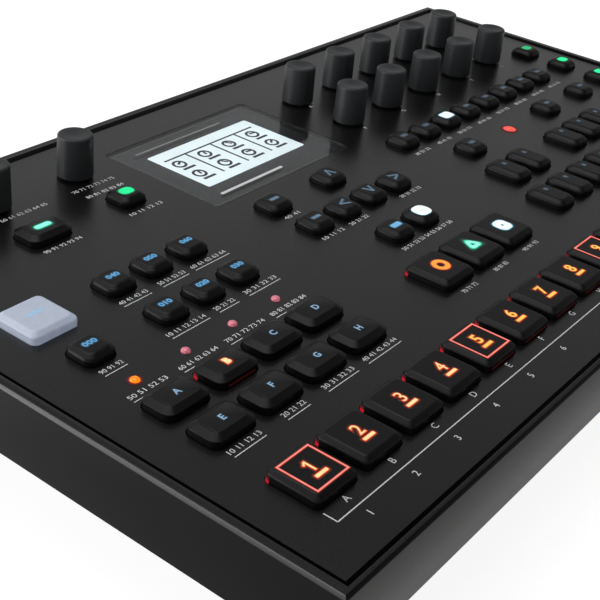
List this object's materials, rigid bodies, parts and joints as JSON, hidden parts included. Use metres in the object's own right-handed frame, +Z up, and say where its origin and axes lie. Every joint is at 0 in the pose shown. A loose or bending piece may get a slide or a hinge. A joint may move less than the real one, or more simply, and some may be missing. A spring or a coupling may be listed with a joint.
{
  "type": "desktop analog synthesizer",
  "caption": "Desktop synthesizer with a sloping dark panel, a row of square step keys, small round keys, tall knobs, a lit display and rear sockets.",
  "frame": {"origin": "on the desk, under the middle of the outer box", "axes": "+X to the player's right, +Y from the player to the back, +Z up"},
  "size_m": [0.385, 0.223, 0.0818],
  "materials": {
    "case_metal": "brushed and anodised black",
    "panel_metal": "brushed and anodised black",
    "base_metal": "fine powder coat",
    "window_glass": "polished, dark tint",
    "display": "lit from behind",
    "circuit_board": "solder mask",
    "black_plastic": "moulded",
    "steel": "plated",
    "brass": "plain",
    "cable": "flat ribbon",
    "lamp": "clear dome",
    "rubber": "matt",
    "knob_plastic": "soft touch",
    "key_plastic": "fine matt",
    "white_key": "translucent, lit"
  },
  "bodies": {
    "case": {"upper_case": "case_metal", "lower_case": "base_metal", "top_panel": "panel_metal", "display_window": "window_glass", "display_module": "display", "control_board": "circuit_board", "key_switches": "black_plastic", "encoder_bodies": "steel", "fixing_nuts": "steel", "board_posts": "brass", "main_board": "circuit_board", "ribbon_cable": "cable", "status_lamps": "lamp", "audio_jacks": "black_plastic", "midi_sockets": "black_plastic", "usb_socket": "steel", "power_inlet": "black_plastic", "power_switch": "black_plastic", "rubber_feet": "rubber", "case_screws": "steel"},
    "power_rocker": {"power_rocker": "black_plastic"},
    "volume_knob": {"volume_knob": "knob_plastic"},
    "level_knob": {"level_knob": "knob_plastic"},
    "sound_knob": {"sound_knob": "knob_plastic"},
    "data_knob_a": {"data_knob_a": "knob_plastic"},
    "data_knob_b": {"data_knob_b": "knob_plastic"},
    "data_knob_c": {"data_knob_c": "knob_plastic"},
    "data_knob_d": {"data_knob_d": "knob_plastic"},
    "data_knob_e": {"data_knob_e": "knob_plastic"},
    "data_knob_f": {"data_knob_f": "knob_plastic"},
    "data_knob_g": {"data_knob_g": "knob_plastic"},
    "data_knob_h": {"data_knob_h": "knob_plastic"},
    "data_knob_i": {"data_knob_i": "knob_plastic"},
    "data_knob_j": {"data_knob_j": "knob_plastic"},
    "step_key_01": {"step_key_01": "key_plastic"},
    "step_key_02": {"step_key_02": "key_plastic"},
    "step_key_03": {"step_key_03": "key_plastic"},
    "step_key_04": {"step_key_04": "key_plastic"},
    "step_key_05": {"step_key_05": "key_plastic"},
    "step_key_06": {"step_key_06": "key_plastic"},
    "step_key_07": {"step_key_07": "key_plastic"},
    "step_key_08": {"step_key_08": "key_plastic"},
    "step_key_09": {"step_key_09": "key_plastic"},
    "step_key_10": {"step_key_10": "key_plastic"},
    "step_key_11": {"step_key_11": "key_plastic"},
    "step_key_12": {"step_key_12": "key_plastic"},
    "step_key_13": {"step_key_13": "key_plastic"},
    "step_key_14": {"step_key_14": "key_plastic"},
    "step_key_15": {"step_key_15": "key_plastic"},
    "step_key_16": {"step_key_16": "key_plastic"},
    "record_key": {"record_key": "key_plastic"},
    "play_key": {"play_key": "key_plastic"},
    "stop_key": {"stop_key": "key_plastic"},
    "function_key": {"function_key": "white_key"},
    "bank_keys": {"bank_keys": "key_plastic"},
    "mode_keys": {"mode_keys": "key_plastic"},
    "navigation_keys": {"navigation_keys": "key_plastic"},
    "page_keys": {"page_keys": "key_plastic"},
    "note_keys": {"note_keys": "key_plastic"},
    "selector_keys": {"selector_keys": "key_plastic"}
  },
  "joints": [
    {"name": "volume_knob_turn", "type": "hinge", "parent": "case", "child": "volume_knob", "pos_m": [-0.164, 0.08026, 0.07294], "axis": [0, -0.1219, 0.9925], "range_deg": [-150, 150]},
    {"name": "level_knob_turn", "type": "hinge", "parent": "case", "child": "level_knob", "pos_m": [-0.1261, 0.08026, 0.07294], "axis": [0, -0.1219, 0.9925], "continuous": true},
    {"name": "sound_knob_turn", "type": "hinge", "parent": "case", "child": "sound_knob", "pos_m": [-0.0882, 0.08026, 0.07294], "axis": [0, -0.1219, 0.9925], "continuous": true},
    {"name": "data_knob_a_turn", "type": "hinge", "parent": "case", "child": "data_knob_a", "pos_m": [0.0319, 0.07212, 0.07194], "axis": [0, -0.1219, 0.9925], "continuous": true},
    {"name": "data_knob_b_turn", "type": "hinge", "parent": "case", "child": "data_knob_b", "pos_m": [0.0605, 0.07212, 0.07194], "axis": [0, -0.1219, 0.9925], "continuous": true},
    {"name": "data_knob_c_turn", "type": "hinge", "parent": "case", "child": "data_knob_c", "pos_m": [0.0891, 0.07212, 0.07194], "axis": [0, -0.1219, 0.9925], "continuous": true},
    {"name": "data_knob_d_turn", "type": "hinge", "parent": "case", "child": "data_knob_d", "pos_m": [0.1177, 0.07212, 0.07194], "axis": [0, -0.1219, 0.9925], "continuous": true},
    {"name": "data_knob_e_turn", "type": "hinge", "parent": "case", "child": "data_knob_e", "pos_m": [0.1463, 0.07212, 0.07194], "axis": [0, -0.1219, 0.9925], "continuous": true},
    {"name": "data_knob_f_turn", "type": "hinge", "parent": "case", "child": "data_knob_f", "pos_m": [0.0319, 0.04553, 0.06868], "axis": [0, -0.1219, 0.9925], "continuous": true},
    {"name": "data_knob_g_turn", "type": "hinge", "parent": "case", "child": "data_knob_g", "pos_m": [0.0605, 0.04553, 0.06868], "axis": [0, -0.1219, 0.9925], "continuous": true},
    {"name": "data_knob_h_turn", "type": "hinge", "parent": "case", "child": "data_knob_h", "pos_m": [0.0891, 0.04553, 0.06868], "axis": [0, -0.1219, 0.9925], "continuous": true},
    {"name": "data_knob_i_turn", "type": "hinge", "parent": "case", "child": "data_knob_i", "pos_m": [0.1177, 0.04553, 0.06868], "axis": [0, -0.1219, 0.9925], "continuous": true},
    {"name": "data_knob_j_turn", "type": "hinge", "parent": "case", "child": "data_knob_j", "pos_m": [0.1463, 0.04553, 0.06868], "axis": [0, -0.1219, 0.9925], "continuous": true},
    {"name": "step_key_01_press", "type": "slide", "parent": "case", "child": "step_key_01", "axis": [0, 0.1219, -0.9925], "range_m": [0, 0.0012], "stiffness_N_per_m": 800, "springref_m": -0.0006},
    {"name": "step_key_02_press", "type": "slide", "parent": "case", "child": "step_key_02", "axis": [0, 0.1219, -0.9925], "range_m": [0, 0.0012], "stiffness_N_per_m": 800, "springref_m": -0.0006},
    {"name": "step_key_03_press", "type": "slide", "parent": "case", "child": "step_key_03", "axis": [0, 0.1219, -0.9925], "range_m": [0, 0.0012], "stiffness_N_per_m": 800, "springref_m": -0.0006},
    {"name": "step_key_04_press", "type": "slide", "parent": "case", "child": "step_key_04", "axis": [0, 0.1219, -0.9925], "range_m": [0, 0.0012], "stiffness_N_per_m": 800, "springref_m": -0.0006},
    {"name": "step_key_05_press", "type": "slide", "parent": "case", "child": "step_key_05", "axis": [0, 0.1219, -0.9925], "range_m": [0, 0.0012], "stiffness_N_per_m": 800, "springref_m": -0.0006},
    {"name": "step_key_06_press", "type": "slide", "parent": "case", "child": "step_key_06", "axis": [0, 0.1219, -0.9925], "range_m": [0, 0.0012], "stiffness_N_per_m": 800, "springref_m": -0.0006},
    {"name": "step_key_07_press", "type": "slide", "parent": "case", "child": "step_key_07", "axis": [0, 0.1219, -0.9925], "range_m": [0, 0.0012], "stiffness_N_per_m": 800, "springref_m": -0.0006},
    {"name": "step_key_08_press", "type": "slide", "parent": "case", "child": "step_key_08", "axis": [0, 0.1219, -0.9925], "range_m": [0, 0.0012], "stiffness_N_per_m": 800, "springref_m": -0.0006},
    {"name": "step_key_09_press", "type": "slide", "parent": "case", "child": "step_key_09", "axis": [0, 0.1219, -0.9925], "range_m": [0, 0.0012], "stiffness_N_per_m": 800, "springref_m": -0.0006},
    {"name": "step_key_10_press", "type": "slide", "parent": "case", "child": "step_key_10", "axis": [0, 0.1219, -0.9925], "range_m": [0, 0.0012], "stiffness_N_per_m": 800, "springref_m": -0.0006},
    {"name": "step_key_11_press", "type": "slide", "parent": "case", "child": "step_key_11", "axis": [0, 0.1219, -0.9925], "range_m": [0, 0.0012], "stiffness_N_per_m": 800, "springref_m": -0.0006},
    {"name": "step_key_12_press", "type": "slide", "parent": "case", "child": "step_key_12", "axis": [0, 0.1219, -0.9925], "range_m": [0, 0.0012], "stiffness_N_per_m": 800, "springref_m": -0.0006},
    {"name": "step_key_13_press", "type": "slide", "parent": "case", "child": "step_key_13", "axis": [0, 0.1219, -0.9925], "range_m": [0, 0.0012], "stiffness_N_per_m": 800, "springref_m": -0.0006},
    {"name": "step_key_14_press", "type": "slide", "parent": "case", "child": "step_key_14", "axis": [0, 0.1219, -0.9925], "range_m": [0, 0.0012], "stiffness_N_per_m": 800, "springref_m": -0.0006},
    {"name": "step_key_15_press", "type": "slide", "parent": "case", "child": "step_key_15", "axis": [0, 0.1219, -0.9925], "range_m": [0, 0.0012], "stiffness_N_per_m": 800, "springref_m": -0.0006},
    {"name": "step_key_16_press", "type": "slide", "parent": "case", "child": "step_key_16", "axis": [0, 0.1219, -0.9925], "range_m": [0, 0.0012], "stiffness_N_per_m": 800, "springref_m": -0.0006},
    {"name": "record_key_press", "type": "slide", "parent": "case", "child": "record_key", "axis": [0, 0.1219, -0.9925], "range_m": [0, 0.0012], "stiffness_N_per_m": 800, "springref_m": -0.0006},
    {"name": "play_key_press", "type": "slide", "parent": "case", "child": "play_key", "axis": [0, 0.1219, -0.9925], "range_m": [0, 0.0012], "stiffness_N_per_m": 800, "springref_m": -0.0006},
    {"name": "stop_key_press", "type": "slide", "parent": "case", "child": "stop_key", "axis": [0, 0.1219, -0.9925], "range_m": [0, 0.0012], "stiffness_N_per_m": 800, "springref_m": -0.0006},
    {"name": "function_key_press", "type": "slide", "parent": "case", "child": "function_key", "axis": [0, 0.1219, -0.9925], "range_m": [0, 0.0012], "stiffness_N_per_m": 800, "springref_m": -0.0006},
    {"name": "bank_keys_press", "type": "slide", "parent": "case", "child": "bank_keys", "axis": [0, 0.1219, -0.9925], "range_m": [0, 0.0012], "stiffness_N_per_m": 800, "springref_m": -0.0006},
    {"name": "mode_keys_press", "type": "slide", "parent": "case", "child": "mode_keys", "axis": [0, 0.1219, -0.9925], "range_m": [0, 0.0012], "stiffness_N_per_m": 800, "springref_m": -0.0006},
    {"name": "navigation_keys_press", "type": "slide", "parent": "case", "child": "navigation_keys", "axis": [0, 0.1219, -0.9925], "range_m": [0, 0.0012], "stiffness_N_per_m": 800, "springref_m": -0.0006},
    {"name": "page_keys_press", "type": "slide", "parent": "case", "child": "page_keys", "axis": [0, 0.1219, -0.9925], "range_m": [0, 0.0012], "stiffness_N_per_m": 800, "springref_m": -0.0006},
    {"name": "note_keys_press", "type": "slide", "parent": "case", "child": "note_keys", "axis": [0, 0.1219, -0.9925], "range_m": [0, 0.0012], "stiffness_N_per_m": 800, "springref_m": -0.0006},
    {"name": "selector_keys_press", "type": "slide", "parent": "case", "child": "selector_keys", "axis": [0, 0.1219, -0.9925], "range_m": [0, 0.0012], "stiffness_N_per_m": 800, "springref_m": -0.0006},
    {"name": "power_rocker_tip", "type": "hinge", "parent": "case", "child": "power_rocker", "pos_m": [0.152, 0.09483, 0.0261], "axis": [-1, 0, 0], "range_deg": [0, 14]}
  ]
}
